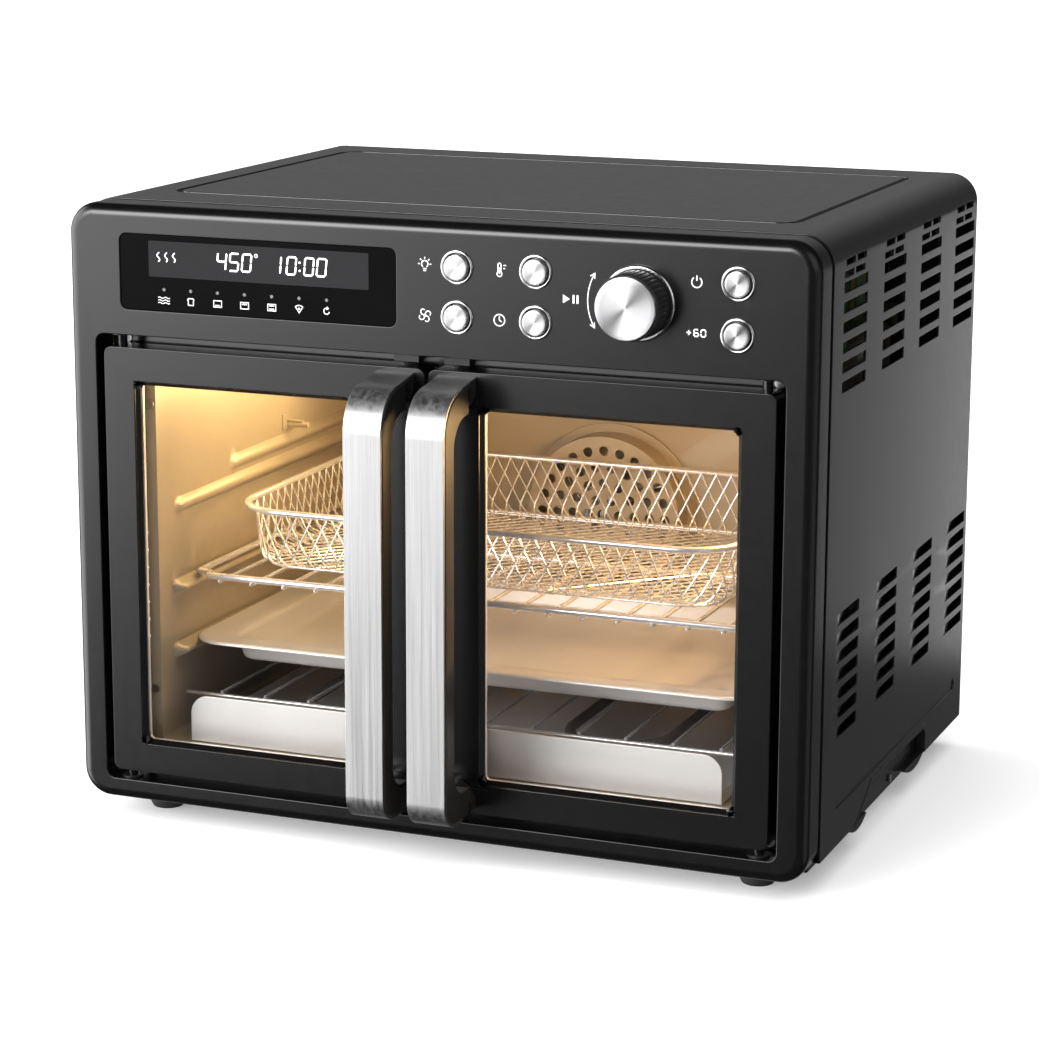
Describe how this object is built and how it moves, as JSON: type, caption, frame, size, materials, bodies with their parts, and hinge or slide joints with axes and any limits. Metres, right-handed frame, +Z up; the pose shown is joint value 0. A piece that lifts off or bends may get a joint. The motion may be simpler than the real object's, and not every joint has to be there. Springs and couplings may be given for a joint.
{
  "type": "toaster oven",
  "caption": "Countertop toaster oven with French doors, glass windows, control panel, convection fan, wire rack, fry basket, baking pan and crumb tray.",
  "frame": {"origin": "bottom centre of the whole oven on the worktop, handles and wall spacers included", "axes": "+X to the viewer's right along the width, +Y to the back, +Z up"},
  "size_m": [0.4716, 0.419, 0.385],
  "materials": {
    "satin_black_metal": "satin black powder coat",
    "graphite_metal": "satin graphite powder coat",
    "black_plastic": "fine-grained moulded",
    "black_rubber": "matt",
    "aluminised_steel": "soft spangled sheet",
    "bare_steel": "rolled sheet",
    "heater_sheath": "oxidised",
    "plated_wire": "nickel plated",
    "ceramic_white": "unglazed",
    "lamp_glass": "clear, warm lit",
    "gloss_black": "piano black",
    "lcd_glass": "smoked",
    "led_lens": "diffuse lens",
    "circuit_board": "solder mask",
    "polished_ring": "bright",
    "spun_aluminium": "spun, circular grain",
    "machined_steel": "turned",
    "brass_bush": "turned",
    "brushed_strip": "vertical brushing",
    "door_glass": "clear tempered"
  },
  "bodies": {
    "oven_body": {"front_bezel": "satin_black_metal", "outer_shell": "graphite_metal", "rear_cover": "graphite_metal", "base_plate": "graphite_metal", "feet": "black_rubber", "side_grips": "black_plastic", "wall_spacers": "black_plastic", "mains_gland": "black_plastic", "cavity_liner": "aluminised_steel", "fan_guard": "aluminised_steel", "fan_motor": "machined_steel", "motor_bracket": "aluminised_steel", "top_heater": "heater_sheath", "bottom_heater": "heater_sheath", "heater_insulators": "ceramic_white", "heater_guard": "plated_wire", "lamp_holder": "aluminised_steel", "lamp_bulb": "lamp_glass", "temperature_probe": "aluminised_steel", "power_board": "circuit_board", "control_board": "circuit_board", "display_window": "gloss_black", "lcd_panel": "lcd_glass", "indicator_leds": "led_lens", "knob_ring": "polished_ring", "encoder_body": "machined_steel", "button_rings": "polished_ring", "tact_switches": "black_plastic", "hinge_bushes": "black_plastic", "door_catches": "black_plastic", "case_screws": "machined_steel"},
    "left_door": {"left_door_frame": "satin_black_metal", "left_door_glass": "door_glass", "left_door_backing": "bare_steel", "left_handle_core": "black_plastic", "left_handle_trim": "brushed_strip", "left_hinge_pins": "satin_black_metal"},
    "right_door": {"right_door_frame": "satin_black_metal", "right_door_glass": "door_glass", "right_door_backing": "bare_steel", "right_handle_core": "black_plastic", "right_handle_trim": "brushed_strip", "right_hinge_pins": "satin_black_metal"},
    "light_key": {"light_button": "spun_aluminium"},
    "convection_key": {"convection_button": "spun_aluminium"},
    "temperature_key": {"temperature_button": "spun_aluminium"},
    "time_key": {"time_button": "spun_aluminium"},
    "cancel_key": {"cancel_button": "spun_aluminium"},
    "add_minute_key": {"add_minute_button": "spun_aluminium"},
    "knob_carrier": {"encoder_plunger": "brass_bush"},
    "knob": {"encoder_shaft": "machined_steel", "knob_skirt": "black_plastic", "knob_cap": "spun_aluminium"},
    "fan": {"fan_blade": "spun_aluminium", "motor_shaft": "machined_steel"},
    "rack": {"wire_rack": "plated_wire", "rack_wires": "plated_wire"},
    "basket": {"fry_basket": "plated_wire"},
    "pan": {"baking_pan": "bare_steel"},
    "tray": {"crumb_tray": "bare_steel"}
  },
  "joints": [
    {"name": "left_door_hinge", "type": "hinge", "parent": "oven_body", "child": "left_door", "pos_m": [-0.2038, -0.1525, 0.165], "axis": [0, 0, -1], "range_deg": [0, 110]},
    {"name": "right_door_hinge", "type": "hinge", "parent": "oven_body", "child": "right_door", "pos_m": [0.2038, -0.1525, 0.165], "axis": [0, 0, 1], "range_deg": [0, 110]},
    {"name": "light_press", "type": "slide", "parent": "oven_body", "child": "light_key", "axis": [0, 1, 0], "range_m": [0, 0.0012], "stiffness_N_per_m": 400, "springref_m": -0.0015},
    {"name": "convection_press", "type": "slide", "parent": "oven_body", "child": "convection_key", "axis": [0, 1, 0], "range_m": [0, 0.0012], "stiffness_N_per_m": 400, "springref_m": -0.0015},
    {"name": "temperature_press", "type": "slide", "parent": "oven_body", "child": "temperature_key", "axis": [0, 1, 0], "range_m": [0, 0.0012], "stiffness_N_per_m": 400, "springref_m": -0.0015},
    {"name": "time_press", "type": "slide", "parent": "oven_body", "child": "time_key", "axis": [0, 1, 0], "range_m": [0, 0.0012], "stiffness_N_per_m": 400, "springref_m": -0.0015},
    {"name": "cancel_press", "type": "slide", "parent": "oven_body", "child": "cancel_key", "axis": [0, 1, 0], "range_m": [0, 0.0012], "stiffness_N_per_m": 400, "springref_m": -0.0015},
    {"name": "add_minute_press", "type": "slide", "parent": "oven_body", "child": "add_minute_key", "axis": [0, 1, 0], "range_m": [0, 0.0012], "stiffness_N_per_m": 400, "springref_m": -0.0015},
    {"name": "knob_press", "type": "slide", "parent": "oven_body", "child": "knob_carrier", "axis": [0, 1, 0], "range_m": [0, 0.001], "stiffness_N_per_m": 900, "springref_m": -0.0015},
    {"name": "knob_turn", "type": "hinge", "parent": "knob_carrier", "child": "knob", "pos_m": [0.1298, -0.1715, 0.3447], "axis": [0, 1, 0], "continuous": true},
    {"name": "fan_spin", "type": "hinge", "parent": "oven_body", "child": "fan", "pos_m": [0, 0.1485, 0.15], "axis": [0, 1, 0], "continuous": true},
    {"name": "rack_slide", "type": "slide", "parent": "oven_body", "child": "rack", "axis": [0, -1, 0], "range_m": [0, 0.03]},
    {"name": "basket_slide", "type": "slide", "parent": "rack", "child": "basket", "axis": [0, -1, 0], "range_m": [0, 0.012]},
    {"name": "pan_slide", "type": "slide", "parent": "oven_body", "child": "pan", "axis": [0, -1, 0], "range_m": [0, 0.028]},
    {"name": "tray_slide", "type": "slide", "parent": "oven_body", "child": "tray", "axis": [0, -1, 0], "range_m": [0, 0.011]}
  ]
}
